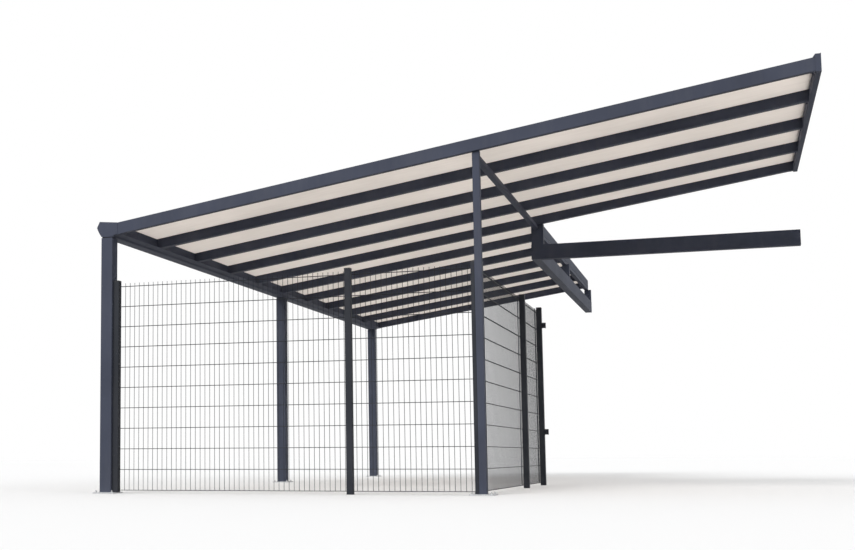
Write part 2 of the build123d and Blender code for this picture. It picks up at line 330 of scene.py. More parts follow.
def opal_finish(name, colour, share_through):
    tree, shader = new_finish(name)
    lengthwise = noise(tree, places(tree, (0.35, 24, 24)), 1.0, 3.0, 0.55)
    cloudy = noise(tree, places(tree), 1.1, 4.0)
    dirt = noise(tree, places(tree, (1.5, 9, 9)), 2.2, 6.0, 0.65)
    base = blend_colour(tree, remap(tree, cloudy, 0.3, 0.7, 0, 1), shade(colour, 1.0), shade(colour, 1.03))
    base = blend_colour(tree, remap(tree, lengthwise, 0.4, 0.7, 0, 0.35), base, shade(colour, 0.9))
    settled = times(tree, facing_up(tree), remap(tree, dirt, 0.48, 0.8, 0, 0.14))
    base = blend_colour(tree, settled, base, (0.42, 0.39, 0.33, 1))
    tree.links.new(base, shader.inputs["Base Color"])
    set_roughness(tree, shader, cloudy, 0.28, 0.42)
    add_bump(tree, shader, lengthwise, 0.12, 0.0006)
    through = add_node(tree, "ShaderNodeBsdfTranslucent", (("Color", base),))
    settings = ((0, share_through), (1, shader.outputs["BSDF"]), (2, through.outputs["BSDF"]))
    mixed = add_node(tree, "ShaderNodeMixShader", settings)
    output = next(node for node in tree.nodes if node.type == "OUTPUT_MATERIAL")
    tree.links.new(mixed.outputs["Shader"], output.inputs["Surface"])


def galvanised_finish(name, colour):
    tree, shader = new_finish(name)
    plain = places(tree)
    flakes = add_node(tree, "ShaderNodeTexVoronoi", (("Vector", plain), ("Scale", 110.0))).outputs["Color"]
    tone = add_node(tree, "ShaderNodeSeparateColor", (("Color", flakes),)).outputs["Red"]
    stains = noise(tree, plain, 14.0, 5.0, 0.6)
    base = blend_colour(tree, tone, shade(colour, 0.8), shade(colour, 1.15))
    base = blend_colour(tree, remap(tree, stains, 0.5, 0.8, 0, 0.55), base, (0.3, 0.29, 0.27, 1))
    tree.links.new(base, shader.inputs["Base Color"])
    tree.links.new(remap(tree, tone, 0, 1, 0.34, 0.52), shader.inputs["Roughness"])
    shader.inputs["Metallic"].default_value = 0.9
    add_bump(tree, shader, stains, 0.2, 0.0004)


def plain_metal_finish(name, colour, roughness):
    tree, shader = new_finish(name)
    brushed = noise(tree, places(tree, (1, 1, 7)), 160.0, 3.0)
    base = blend_colour(tree, remap(tree, brushed, 0.3, 0.7, 0, 1), shade(colour, 0.85), shade(colour, 1.1))
    tree.links.new(base, shader.inputs["Base Color"])
    set_roughness(tree, shader, brushed, roughness - 0.06, roughness + 0.08)
    shader.inputs["Metallic"].default_value = 1.0
    add_bump(tree, shader, brushed, 0.1, 0.0002)


def rubber_finish(name, colour, roughness):
    tree, shader = new_finish(name)
    plain = places(tree)
    worn = noise(tree, plain, 38.0, 4.0)
    base = blend_colour(tree, remap(tree, worn, 0.35, 0.7, 0, 1), shade(colour, 0.75), shade(colour, 1.5))
    tree.links.new(base, shader.inputs["Base Color"])
    set_roughness(tree, shader, worn, roughness - 0.08, roughness + 0.1)
    add_bump(tree, shader, noise(tree, plain, 480.0, 2.0), 0.18, 0.0004)


# Settings that a user would change

def length(name, description, default):
    return bpy.props.FloatProperty(name=name, description=description, default=default,
                                   min=0.0, unit="LENGTH", precision=4)


def colour(name, description, default):
    return bpy.props.FloatVectorProperty(name=name, description=description, default=default + (1.0,),
                                         size=4, min=0.0, max=1.0, subtype="COLOR")


def angle(name, description, default):
    return bpy.props.FloatProperty(name=name, description=description, default=default,
                                   subtype="ANGLE", unit="ROTATION")


class CarportRoofSizes(bpy.types.PropertyGroup):
    web_pitch: length("Web spacing", "Distance between the webs inside a twin-wall sheet", 0.020)
    web: length("Web thickness", "Thickness of a web inside a sheet", 0.0006)
    skin: length("Skin thickness", "Thickness of a sheet's upper and lower skin", 0.0010)
    seal: length("Seal width", "Width of the rubber seal that shows beside a rafter or cover strip", 0.005)
    screw_pitch: length("Screw spacing", "Distance between the screws of a cover strip", 0.35)
    screw: length("Screw radius", "Radius of a cover strip screw's head", 0.0055)
    washer: length("Washer radius", "Radius of the washer under a cover strip screw", 0.0085)


class CarportPostSizes(bpy.types.PropertyGroup):
    wall: length("Wall thickness", "Wall thickness of the posts", 0.003)
    corner: length("Corner radius", "Outer corner radius of the posts", 0.004)
    gap: length("Shadow gap", "Height of the recessed neck under a beam", 0.007)
    recess: length("Gap depth", "How far the neck lies back from the post's faces", 0.007)
    stud: length("Anchor radius", "Radius of an anchor stud at a foot plate", 0.005)
    stud_spacing: length("Anchor spacing", "Distance between the anchor studs of a foot plate", 0.170)


class CarportScreenSizes(bpy.types.PropertyGroup):
    rod: length("Rod diameter", "Diameter of the paired level rods", 0.006)
    wire: length("Wire diameter", "Diameter of the upright wires", 0.005)
    rod_pitch: length("Rod spacing", "Distance between the pairs of level rods", 0.200)
    wire_pitch: length("Wire spacing", "Distance between the upright wires", 0.050)
    tip: length("Wire tips", "Length of the wires above the highest rods", 0.030)
    bolt_pitch: length("Bolt spacing", "Distance between the bolts of a clamp bar", 0.400)
    cap: length("Cap height", "Height of the caps on the mesh posts", 0.009)
    bracket_low: length("Lower bracket", "Height of the last mesh post's lower wall bracket", 0.62)
    bracket_high: length("Upper bracket", "Height of the last mesh post's upper wall bracket", 1.87)


class CarportColours(bpy.types.PropertyGroup):
    coating: colour("Coating", "Powder coating of the aluminium frame", (0.065, 0.073, 0.103))
    mesh: colour("Mesh coating", "Powder coating of the wire mats and their posts", (0.034, 0.037, 0.045))
    dust: colour("Dust", "Dust and water marks on the coating", (0.30, 0.29, 0.27))
    sheet: colour("Sheet", "Opal twin-wall roof sheet", (0.94, 0.922, 0.905))
    rubber: colour("Rubber", "Seals and post caps", (0.018, 0.018, 0.019))
    steel: colour("Steel", "Stainless screws and washers", (0.58, 0.57, 0.55))
    zinc: colour("Zinc", "Galvanised foot plates and anchors", (0.50, 0.51, 0.52))
    floor: colour("Floor", "Plain floor under the carport", (0.93, 0.93, 0.93))
    through: bpy.props.FloatProperty(name="Light through sheets",
                                     description="Share of the light that a sheet's surface lets through",
                                     default=0.86, min=0.0, max=1.0, subtype="FACTOR")


class CarportCamera(bpy.types.PropertyGroup):
    place: bpy.props.FloatVectorProperty(name="Place", description="Where the camera stands",
                                         default=(5.7105, -11.553, 0.3488), size=3,
                                         subtype="TRANSLATION", unit="LENGTH")
    turn: angle("Turn", "Turn from straight back", -0.3467)
    tilt: angle("Tilt", "Tilt above the level", 0.1045)
    roll: angle("Roll", "Roll about the line of sight", -0.0046)
    focal: bpy.props.FloatProperty(name="Focal length", description="In picture points",
                                   default=1301.46, min=100.0)
    centre: bpy.props.FloatVectorProperty(name="Centre", description="Optical centre in picture points",
                                          default=(255.0, 320.0), size=2)


class CARPORT_OT_finishes(bpy.types.Operator):
    """Makes the finishes and gives them to the frame's own pieces"""

    bl_idname = "carport.finishes"
    bl_label = "Finishes"

    def execute(self, context):
        colours = context.scene.carport_colours
        coated_finish("coated_aluminium", colours.coating, colours.dust, 0.6, 900.0)
        coated_finish("coated_mesh_steel", colours.mesh, colours.dust, 0.5, 600.0)
        opal_finish("opal_sheet", colours.sheet, colours.through)
        galvanised_finish("galvanised_steel", colours.zinc)
        plain_metal_finish("stainless_steel", colours.steel, 0.32)
        rubber_finish("black_rubber", colours.rubber, 0.7)
        rubber_finish("black_plastic", colours.rubber, 0.45)
        slots = {row["node"]: row["material_slot"] for row in frame["record"]["subparts"]}
        for name, node in frame["nodes"].items():
            node.data.materials.clear()
            node.data.materials.append(finishes[slots[name]])
        return {"FINISHED"}


class CARPORT_OT_roof_sheets(bpy.types.Operator):
    """Builds each twin-wall sheet from two skins and its lengthwise webs"""

    bl_idname = "carport.roof_sheets"
    bl_label = "Roof sheets"

    def execute(self, context):
        sizes = context.scene.carport_roof
        for node in SHEETS:
            low, high = low_high(node)
            bm = bmesh.new()
            across = (high.y - low.y) / 2
            centre = low.y + across
            skin = sizes.skin
            gap = 0.0002
            for bottom, top in ((gap, skin), (SHEET - skin, SHEET - gap)):
                add_roof_bar(bm, box_outline(-across, across, bottom, top), centre, low.x, high.x)
            for place in spread(-across, across, sizes.web_pitch, sizes.web / 2):
                outline = box_outline(place - sizes.web / 2, place + sizes.web / 2, skin, SHEET - skin)
                add_roof_bar(bm, outline, centre, low.x, high.x)
            make_piece("twin_wall_sheet_" + node.split("_")[-1], bm, "opal_sheet", [node])
        return {"FINISHED"}


class CARPORT_OT_seals(bpy.types.Operator):
    """Lays rubber seals beside the rafter seats and under the cover strips"""

    bl_idname = "carport.seals"
    bl_label = "Seals"

    def execute(self, context):
        seal = context.scene.carport_roof.seal
        height = 0.0035
        lift = 0.0019
        tuck = 0.001
        cover_start = EAVES_X - 0.044
        lower = bmesh.new()
        upper = bmesh.new()
        bead = rounded(seal, height, 0.4 * height, 2)
        for node in RAFTERS:
            low, high = low_high(node)
            y = (low.y + high.y) / 2
            sides = (-1, 1)
            edge = SEAT_HALF
            if is_verge(node):
                sides = (1,) if node == RAFTERS[0] else (-1,)
                edge = VERGE_HALF
            for side in sides:
                outline = [(side * (edge + seal / 2) + u, v - lift) for u, v in bead]
                add_roof_bar(lower, outline, y, low.x + 2 * tuck, high.x - tuck)
                outline = [(side * (COVER_HALF + seal / 2 - tuck) + u, v + SHEET + lift) for u, v in bead]
                add_roof_bar(upper, outline, y, cover_start, high.x - tuck)
        make_piece("rafter_seals", lower, "black_rubber")
        make_piece("cover_strip_seals", upper, "black_rubber")
        return {"FINISHED"}


class CARPORT_OT_cover_screws(bpy.types.Operator):
    """Screws the cover strips and the rear trim down"""

    bl_idname = "carport.cover_screws"
    bl_label = "Cover strip screws"

    def execute(self, context):
        sizes = context.scene.carport_roof
        heads = bmesh.new()
        washers = bmesh.new()
        top = SHEET + COVER
        cover_start = EAVES_X - 0.045
        trim_width = 0.060
        trim_middle = 0.035
        rubber = 0.0016
        disc = 0.0008
        seat = 0.0007
        head = 0.0034
        margin = 0.060
        trim_margin = 0.080
        spots = []
        for node in RAFTERS:
            end = low_high(node)[1].x
            if not is_long(node):
                end -= trim_width
            spots += [(x, middle(node).y) for x in spread(cover_start, end, sizes.screw_pitch, margin)]
        low, high = low_high("rear_edge_trim")
        for y in spread(low.y, high.y, sizes.screw_pitch, trim_margin):
            spots.append((high.x - trim_middle, y))
        for x, y in spots:
            washer = sizes.washer
            add_lathe(washers, on_roof(x, y, top), [(washer, 0), (washer * 0.92, rubber)], 16)
            add_lathe(heads, on_roof(x, y, top + rubber), [(washer * 0.86, 0), (washer * 0.8, disc)], 16)
            add_dome_screw(heads, on_roof(x, y, top + rubber + seat), sizes.screw, head)
        make_piece("cover_strip_washers", washers, "black_rubber")
        make_piece("cover_strip_screws", heads, "stainless_steel")
        return {"FINISHED"}


# A flanged ring in the gutter's floor over a downpipe
def add_outlet(bm, spot):
    flange = 0.050
    bore = 0.040
    profile = ((flange, 0.0), (flange, 0.002), (bore + 0.001, 0.003), (bore, 0.0))
    add_band(bm, [at(spot, circle(radius, 32), height) for radius, height in profile])


# A basket of bent wires that keeps leaves out of an outlet
def add_strainer(bm, spot):
    wires = 10
    steps = 6
    radius = 0.038
    foot = 0.002
    height = 0.060
    wire = 0.0013
    for index in range(wires):
        around = 2 * math.pi * index / wires
        points = []
        for step in range(steps + 1):
            lift = math.radians(90 * step / steps)
            reach = radius * math.cos(lift)
            rise = foot + height * math.sin(lift)
            points.append(spot @ Vector((reach * math.cos(around), reach * math.sin(around), rise)))
        for start, end in zip(points, points[1:]):
            add_rod(bm, start, end, wire, 6)


class CARPORT_OT_gutter_fittings(bpy.types.Operator):
    """Closes the sheets' lower ends and fits the gutter's cap screws, outlets and strainers"""

    bl_idname = "carport.gutter_fittings"
    bl_label = "Gutter fittings"

    def execute(self, context):
        closures = bmesh.new()
        reach = 0.022
        plate = 0.0012
        face = 0.0015
        drip = 0.0055
        lip = 0.0045
        gap = 0.002
        over = [(reach, plate), (-face, plate), (-face, -SHEET), (-drip, -SHEET - lip + face)]
        under = [(-drip, -SHEET - lip), (0, -SHEET), (0, 0), (reach, 0)]
        for node in SHEETS:
            low, high = low_high(node)
            points = [roof_point(low.x + x, 0, SHEET + up) for x, up in over + under]
            add_back_bar(closures, [(point.x, point.z) for point in points], low.y + gap, high.y - gap)
        make_piece("sheet_end_closures", closures, "coated_aluminium")
        caps_low, caps_high = low_high("gutter_end_caps")
        gutter_floor = low_high("gutter_beam")[0].z
        screws = bmesh.new()
        head = 0.0042
        head_height = 0.0026
        for y, facing in ((caps_low.y, -1), (caps_high.y, 1)):
            for x, z in ((-0.040, 0.014), (0.050, 0.014), (-0.090, 0.094), (-0.062, 0.140), (0.098, 0.040)):
                matrix = axes((x, y, gutter_floor + z), (0, facing, 0), (1, 0, 0))
                add_dome_screw(screws, matrix, head, head_height)
        make_piece("gutter_cap_screws", screws, "coated_aluminium")
        outlets = bmesh.new()
        strainers = bmesh.new()
        channel_x = 0.006
        wall = 0.003
        for node in GUTTER_POSTS:
            spot = Matrix.Translation((channel_x, middle(node).y, gutter_floor + wall))
            add_outlet(outlets, spot)
            add_strainer(strainers, spot)
        make_piece("gutter_outlets", outlets, "black_plastic")
        make_piece("leaf_strainers", strainers, "stainless_steel")
        return {"FINISHED"}


# Heights over the ground at a place, level or along the rafters' underside
def level(height):
    return lambda x: height


def below_rafters(depth):
    return lambda x: roof_point(x, 0, -depth).z


# A rounded tube whose top may follow the roof
def add_post(bm, x, y, size_x, size_y, low_z, top_z, wall, corner):
    outer = rounded(size_x, size_y, corner)
    inner = rounded(size_x - 2 * wall, size_y - 2 * wall, max(corner - wall, 0.0008))
    rings = []
    for outline, height in ((outer, level(low_z)), (outer, top_z), (inner, top_z), (inner, level(low_z))):
        rings.append([Vector((x + u, y + v, height(x + u))) for u, v in outline])
    add_band(bm, rings)


def add_slab(bm, x, y, size_x, size_y, low_z, high_z, corner):
    outline = rounded(size_x, size_y, corner)
    add_skin(bm, [[Vector((x + u, y + v, height(x + u))) for u, v in outline] for height in (low_z, high_z)])


class CARPORT_OT_posts(bpy.types.Operator):
    """Builds the posts as rounded tubes with a shadow gap under their beams; the black neck in each gap is
    painted shade added to the recess's own shadow
    """

    bl_idname = "carport.posts"
    bl_label = "Posts"

    def execute(self, context):
        sizes = context.scene.carport_posts
        # The necks take the black rubber finish: painted shade that darkens the recess under each beam beyond
        # its real shadow
        shade_necks = bmesh.new()
        wall = sizes.wall
        corner = sizes.corner
        gap = sizes.gap
        head = 0.006
        neck_inset = 0.006
        neck_foot = 0.020
        neck_top = 0.005
        neck_corner = 0.002
        sunk = 0.010
        for node in GUTTER_POSTS:
            low, high = low_high(node)
            x, y, _ = (low + high) / 2
            size = high.x - low.x
            bm = bmesh.new()
            add_post(bm, x, y, size, size, low.z, level(high.z - gap), wall, corner)
            make_piece(node + "_tube", bm, "coated_aluminium", [node])
            inner = size - 2 * sizes.recess
            add_slab(shade_necks, x, y, inner, inner, level(high.z - gap - sunk), level(high.z), neck_corner)
        for node, depth in (("front_mid_post", RAFTER_DEPTH), ("front_stub_post", RAFTER_DEPTH),
                            ("rear_stub_posts", RAFTER_DEPTH + BEAM_DEPTH)):
            low, high = low_high(node)
            x = (low.x + high.x) / 2
            width = high.x - low.x
            pair = high.y - low.y > 1
            across = width if pair else high.y - low.y
            bm = bmesh.new()
            rows = [low.y + across / 2, high.y - across / 2] if pair else [(low.y + high.y) / 2]
            for y in rows:
                add_post(bm, x, y, width, across, low.z, below_rafters(depth + head + gap / 2), wall, corner)
                add_slab(bm, x, y, width, across, below_rafters(depth + head), below_rafters(depth), corner)
                add_slab(shade_necks, x, y, width - 2 * neck_inset, across - 2 * neck_inset,
                         below_rafters(depth + neck_foot), below_rafters(depth + neck_top), neck_corner)
            make_piece(node + "_tubes", bm, "coated_aluminium", [node])
        # Painted shade: the black necks darken the shadow gap under each beam
        make_piece("post_necks_painted_shade", shade_necks, "black_rubber")
        return {"FINISHED"}


class CARPORT_OT_foot_fixings(bpy.types.Operator):
    """Adds anchor studs, nuts and weld beads at the foot plates"""

    bl_idname = "carport.foot_fixings"
    bl_label = "Foot fixings"

    def execute(self, context):
        sizes = context.scene.carport_posts
        studs = bmesh.new()
        welds = bmesh.new()
        half = sizes.stud_spacing / 2
        stud = sizes.stud
        nut = 0.011
        stud_foot = -0.009
        stud_top = 0.020
        stud_tip = 0.0015
        weld = 0.005
        sunk = 0.0005
        for node in GUTTER_POSTS + ["front_mid_post"]:
            low, high = low_high(node)
            x, y, _ = (low + high) / 2
            for side_x in (-1, 1):
                for side_y in (-1, 1):
                    spot = Matrix.Translation((x + side_x * half, y + side_y * half, low.z))
                    add_hex_bolt(studs, spot, stud * 1.9, nut, stud * 2.2)
                    profile = [(stud, stud_foot), (stud, stud_top), (stud * 0.8, stud_top + stud_tip)]
                    add_lathe(studs, spot, profile, 12)
            size = high.x - low.x
            rings = []
            for grow, height in ((weld, 0.0), (0.6 * weld, 0.7 * weld), (-sunk, weld), (-sunk, 0.0)):
                outline = rounded(size + 2 * grow, size + 2 * grow, sizes.corner + grow)
                rings.append([Vector((x + u, y + v, low.z + height)) for u, v in outline])
            add_band(welds, rings)
        make_piece("anchor_studs", studs, "galvanised_steel")
        make_piece("foot_welds", welds, "coated_aluminium")
        return {"FINISHED"}


class CARPORT_OT_beam_fixings(bpy.types.Operator):
    """Adds end caps, cleats and screws to the beams and rafters"""

    bl_idname = "carport.beam_fixings"
    bl_label = "Beam fixings"

    def execute(self, context):
        caps = bmesh.new()
        cap = 0.003
        cap_edge = 0.001
        beam_high = low_high("rear_mid_beam")[1]
        lean = BEAM_DEPTH * math.sin(ROOF_SLOPE)
        rear_x = beam_high.x - lean - BEAM_WIDTH / 2 * math.cos(ROOF_SLOPE)
        end = roof_point(rear_x, beam_high.y, -RAFTER_DEPTH - BEAM_DEPTH / 2)
        add_block(caps, axes(end, (0, 1, 0), UP_SLOPE), BEAM_WIDTH, BEAM_DEPTH, cap, cap_edge)
        low, high = low_high("house_wall_beam")
        end = (low.x, (low.y + high.y) / 2, (low.z + high.z) / 2)
        add_block(caps, axes(end, (-1, 0, 0), (0, 1, 0)), high.y - low.y, high.z - low.z, cap, cap_edge)
        low, high = low_high("side_wall_beam")
        end = ((low.x + high.x) / 2, high.y, (low.z + high.z) / 2)
        add_block(caps, axes(end, (0, 1, 0), (1, 0, 0)), high.x - low.x, high.z - low.z, cap, cap_edge)
        make_piece("beam_end_caps", caps, "coated_aluminium")

        cleats = bmesh.new()
        screws = bmesh.new()
        leg = 0.040
        thick = 0.004
        cleat_width = 0.056
        beam_side = -BEAM_WIDTH / 2
        under_cleat = -RAFTER_DEPTH - thick
        screw = 0.005
        screw_height = 0.003
        screw_reach = 0.025
        screw_across = 0.016
        ledge_screw_x = EAVES_X + 0.018
        wall_play = 0.001
        wall_screw = 0.024
        front_x = middle("front_mid_beam").x - lean / 2
        post_carried = (RAFTERS[0], RAFTERS[4])
        for node in RAFTERS:
            end_x = low_high(node)[1].x
            y = middle(node).y
            beam_x = front_x if is_long(node) else rear_x
            spots = []
            if node not in post_carried:
                level_leg = on_roof(beam_x, y, under_cleat) @ Matrix.Translation((beam_side - leg / 2, 0, 0))
                add_block(cleats, level_leg, leg, cleat_width, thick)
                plumb_leg = on_roof(beam_x, y, -RAFTER_DEPTH - leg)
                plumb_leg = plumb_leg @ Matrix.Translation((beam_side - thick / 2, 0, 0))
                add_block(cleats, plumb_leg, thick, cleat_width, leg)
                for across in (-screw_across, screw_across):
                    shift = Matrix.Translation((beam_side - screw_reach, across, 0))
                    spots.append(under_roof(beam_x, y, under_cleat) @ shift)
            for across in (-screw_across, screw_across):
                spots.append(under_roof(ledge_screw_x, y + across, -RAFTER_DEPTH - LEDGE))
            if is_long(node):
                wall_leg = on_roof(end_x, y, under_cleat) @ Matrix.Translation((-wall_play - leg / 2, 0, 0))
                add_block(cleats, wall_leg, leg, cleat_width, thick)
                spots.append(under_roof(end_x - wall_screw, y, under_cleat))
            for spot in spots:
                add_dome_screw(screws, spot, screw, screw_height)
        make_piece("rafter_cleats", cleats, "coated_aluminium")
        make_piece("rafter_screws", screws, "coated_aluminium")
        return {"FINISHED"}


class CARPORT_OT_wall_fixings(bpy.types.Operator):
    """Bolts the wall plate to the house and seals its edges"""

    bl_idname = "carport.wall_fixings"
    bl_label = "Wall fixings"

    def execute(self, context):
        bolts = bmesh.new()
        low, high = low_high("wall_plate")
        face_x = low_high("rafter_2")[1].x
        long_places = [middle(node).y for node in RAFTERS if is_long(node)]
        fields = list(zip(long_places, long_places[1:]))
        bolt_z = low.z + 0.052
        bolt = 0.0085
        bolt_height = 0.008
        washer = 0.012
        for start, end in fields:
            for share in (0.25, 0.75):
                spot = (face_x, start + (end - start) * share, bolt_z)
                add_hex_bolt(bolts, axes(spot, (-1, 0, 0), (0, 1, 0)), bolt, bolt_height, washer)
        make_piece("wall_bolts", bolts, "coated_aluminium")

        seals = bmesh.new()
        rise = 0.006
        sunk = 0.004
        edge = 0.0002
        bead_x = high.x - 0.009
        bead = [(high.x, high.z - sunk), (high.x, high.z + rise),
                (bead_x, high.z - edge), (bead_x, high.z - sunk)]
        add_back_bar(seals, bead, low.y, high.y)
        lip_x = face_x - 0.016
        lip = 0.012
        lip_height = 0.004
        points = [roof_point(lip_x + x, 0, SHEET + up) for x, up in box_outline(0, lip, 0, lip_height)]
        outline = [(point.x, point.z) for point in points]
        for start, end in fields:
            add_back_bar(seals, outline, start + COVER_HALF, end - COVER_HALF)
        make_piece("wall_plate_seals", seals, "black_rubber")
        return {"FINISHED"}


# The line that a mat runs along: its start, its direction, its facing and its length
def mat_line(node):
    low, high = low_high(node)
    if high.x - low.x > high.y - low.y:
        return low, Vector((1, 0, 0)), Vector((0, 1, 0)), high.x - low.x
    return Vector((high.x, low.y, low.z)), Vector((0, 1, 0)), Vector((-1, 0, 0)), high.y - low.y


class CARPORT_OT_wire_mats(bpy.types.Operator):
    """Builds the wire mats from paired level rods and upright wires"""

    bl_idname = "carport.wire_mats"
    bl_label = "Wire mats"

    def execute(self, context):
        sizes = context.scene.carport_screens
        rod = sizes.rod
        wire = sizes.wire
        for node in MATS:
            start, along, out, width = mat_line(node)
            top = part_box(node)[1][2]
            bm = bmesh.new()
            middle_out = rod + wire / 2
            for place in spread(0, width, sizes.wire_pitch, rod / 2):
                foot = start + along * place + out * middle_out
                add_rod(bm, foot, Vector((foot.x, foot.y, top)), wire / 2, 8)
            row = start.z + rod / 2
            while row < top - sizes.tip:
                for depth in (rod / 2, 1.5 * rod + wire):
                    origin = Vector((start.x, start.y, row)) + out * depth
                    add_rod(bm, origin, origin + along * width, rod / 2, 10)
                row += sizes.rod_pitch
            make_piece(node.replace("panel", "mat"), bm, "coated_mesh_steel", [node])
        return {"FINISHED"}


# A folded bracket between a post's side and a wall: two flanges, a web and the screws in the wall flange
def add_wall_bracket(bm, x, y, z):
    width = 0.036
    height = 0.066
    reach = 0.044
    thick = 0.004
    inset = 0.001
    edge = 0.001
    for start in (x, x + reach - thick):
        add_block(bm, axes((start, y, z), (1, 0, 0), (0, 1, 0)), width, height, thick, edge)
    web = axes((x + reach / 2, y - width / 2 + inset, z), (0, 1, 0), (1, 0, 0))
    add_block(bm, web, reach - 2 * inset, height - 2 * inset, thick, edge)
    screw = 0.0055
    screw_height = 0.0035
    for side in (-1, 1):
        spot = (x + reach - thick, y + thick, z + side * height * 0.27)
        add_dome_screw(bm, axes(spot, (-1, 0, 0), (0, 1, 0)), screw, screw_height)


# A cap with a plug that sits in the tube and a bevelled top
def add_post_cap(bm, x, y, size_x, size_y, top, height):
    plug = 0.006
    plug_foot = -0.014
    seat = -0.001
    overlap = -0.0008
    brim = 0.004
    shoulder = 0.004
    bevel = 0.014
    corner = 0.003
    rings = []
    for shrink, z in ((plug, plug_foot), (plug, seat), (overlap, seat), (overlap, brim),
                      (shoulder, height * 0.8), (bevel, height)):
        outline = rounded(size_x - 2 * shrink, size_y - 2 * shrink, corner)
        rings.append([Vector((x + u, y + v, top + z)) for u, v in outline])
    add_skin(bm, rings)


class CARPORT_OT_mesh_posts(bpy.types.Operator):
    """Builds the mesh posts with their caps and wall brackets"""

    bl_idname = "carport.mesh_posts"
    bl_label = "Mesh posts"

    def execute(self, context):
        sizes = context.scene.carport_screens
        caps = bmesh.new()
        wide = 0.060
        slim = 0.036
        wall = 0.002
        corner = 0.004
        cap_seat = 0.001
        for node in MESH_POSTS:
            low, high = low_high(node)
            bm = bmesh.new()
            rows = [((low.x + high.x) / 2, (low.y + high.y) / 2, high.x - low.x, high.y - low.y)]
            if node == "slim_mesh_posts":
                rows = [(low.x + slim / 2, low.y + wide / 2, slim, wide),
                        (high.x - wide / 2, high.y - slim / 2, wide, slim)]
            for x, y, size_x, size_y in rows:
                add_post(bm, x, y, size_x, size_y, low.z, level(high.z - cap_seat), wall, corner)
                add_post_cap(caps, x, y, size_x, size_y, high.z, sizes.cap)
            make_piece(node + "_tube", bm, "coated_mesh_steel", [node])
        make_piece("mesh_post_caps", caps, "black_plastic")
        brackets = bmesh.new()
        low, high = low_high("wall_mesh_post")
        for z in (sizes.bracket_low, sizes.bracket_high):
            add_wall_bracket(brackets, high.x, (low.y + high.y) / 2, z)
        make_piece("mesh_wall_brackets", brackets, "coated_mesh_steel")
        return {"FINISHED"}


# Where the clamp bars stand: their places, facings and widths
def clamp_lines():
    full_width = 0.040
    back = Vector((0, 1, 0))
    outward = Vector((-1, 0, 0))
    front_y = low_high("wide_mesh_panel")[1].y
    side_x = low_high("wall_mesh_panel")[0].x
    slim_low, slim_high = low_high("slim_mesh_posts")
    mats_end = low_high("narrow_mesh_panel")[1].x
    mats_start = low_high("return_mesh_panel")[0].y
    lines = []
    for node in ("corner_mesh_post", "bay_mesh_post"):
        lines.append((middle(node).x, front_y, back, full_width))
    for node in ("return_mesh_post", "wall_mesh_post"):
        lines.append((side_x, middle(node).y, outward, full_width))
    lines.append(((slim_low.x + mats_end) / 2, front_y, back, mats_end - slim_low.x))
    lines.append((side_x, (slim_high.y + mats_start) / 2, outward, slim_high.y - mats_start))
    return lines


class CARPORT_OT_mesh_clamps(bpy.types.Operator):
    """Builds the clamp bars that hold the mats, with their bolts"""

    bl_idname = "carport.mesh_clamps"
    bl_label = "Mesh clamps"

    def execute(self, context):
        sizes = context.scene.carport_screens
        bars = bmesh.new()
        bolts = bmesh.new()
        thick = 0.005
        edge = 0.0012
        bolt = 0.0075
        bolt_height = 0.005
        first_bolt = 0.106
        low, high = low_high("mesh_clamp_bars")
        for x, y, facing, width in clamp_lines():
            across = Vector((facing.y, -facing.x, 0))
            foot = Vector((x, y, low.z)) + facing * thick / 2
            add_block(bars, axes(foot, (0, 0, 1), across), width, thick, high.z - low.z, edge)
            for z in spread(low.z, high.z, sizes.bolt_pitch, first_bolt):
                spot = Vector((x, y, z)) + facing * thick
                radius = min(bolt, width * 0.42)
                add_dome_screw(bolts, axes(spot, facing, (0, 0, 1)), radius, bolt_height)
        make_piece("mesh_clamps", bars, "coated_mesh_steel", ["mesh_clamp_bars"])
        make_piece("mesh_clamp_bolts", bolts, "stainless_steel")
        return {"FINISHED"}


def add_lamp(name, towards, strength, spread_angle, tint):
    lamp = bpy.data.lights.new(name, "SUN")
    lamp.energy = strength
    lamp.angle = math.radians(spread_angle)
    lamp.color = tint
    holder = bpy.data.objects.new(name, lamp)
    holder.rotation_mode = "QUATERNION"
    holder.rotation_quaternion = Vector(towards).to_track_quat("Z", "Y")
    bpy.context.scene.collection.objects.link(holder)


# 1 where the camera sees a thing, also by way of a mirror or glass, and 0 where it only lights others
def seen_directly(tree):
    rays = add_node(tree, "ShaderNodeLightPath").outputs
    share = rays["Is Camera Ray"]
    for kind in ("Is Glossy Ray", "Is Transmission Ray"):
        either = add_node(tree, "ShaderNodeMath", ((0, share), (1, rays[kind])), operation="MAXIMUM")
        share = either.outputs[0]
    return share


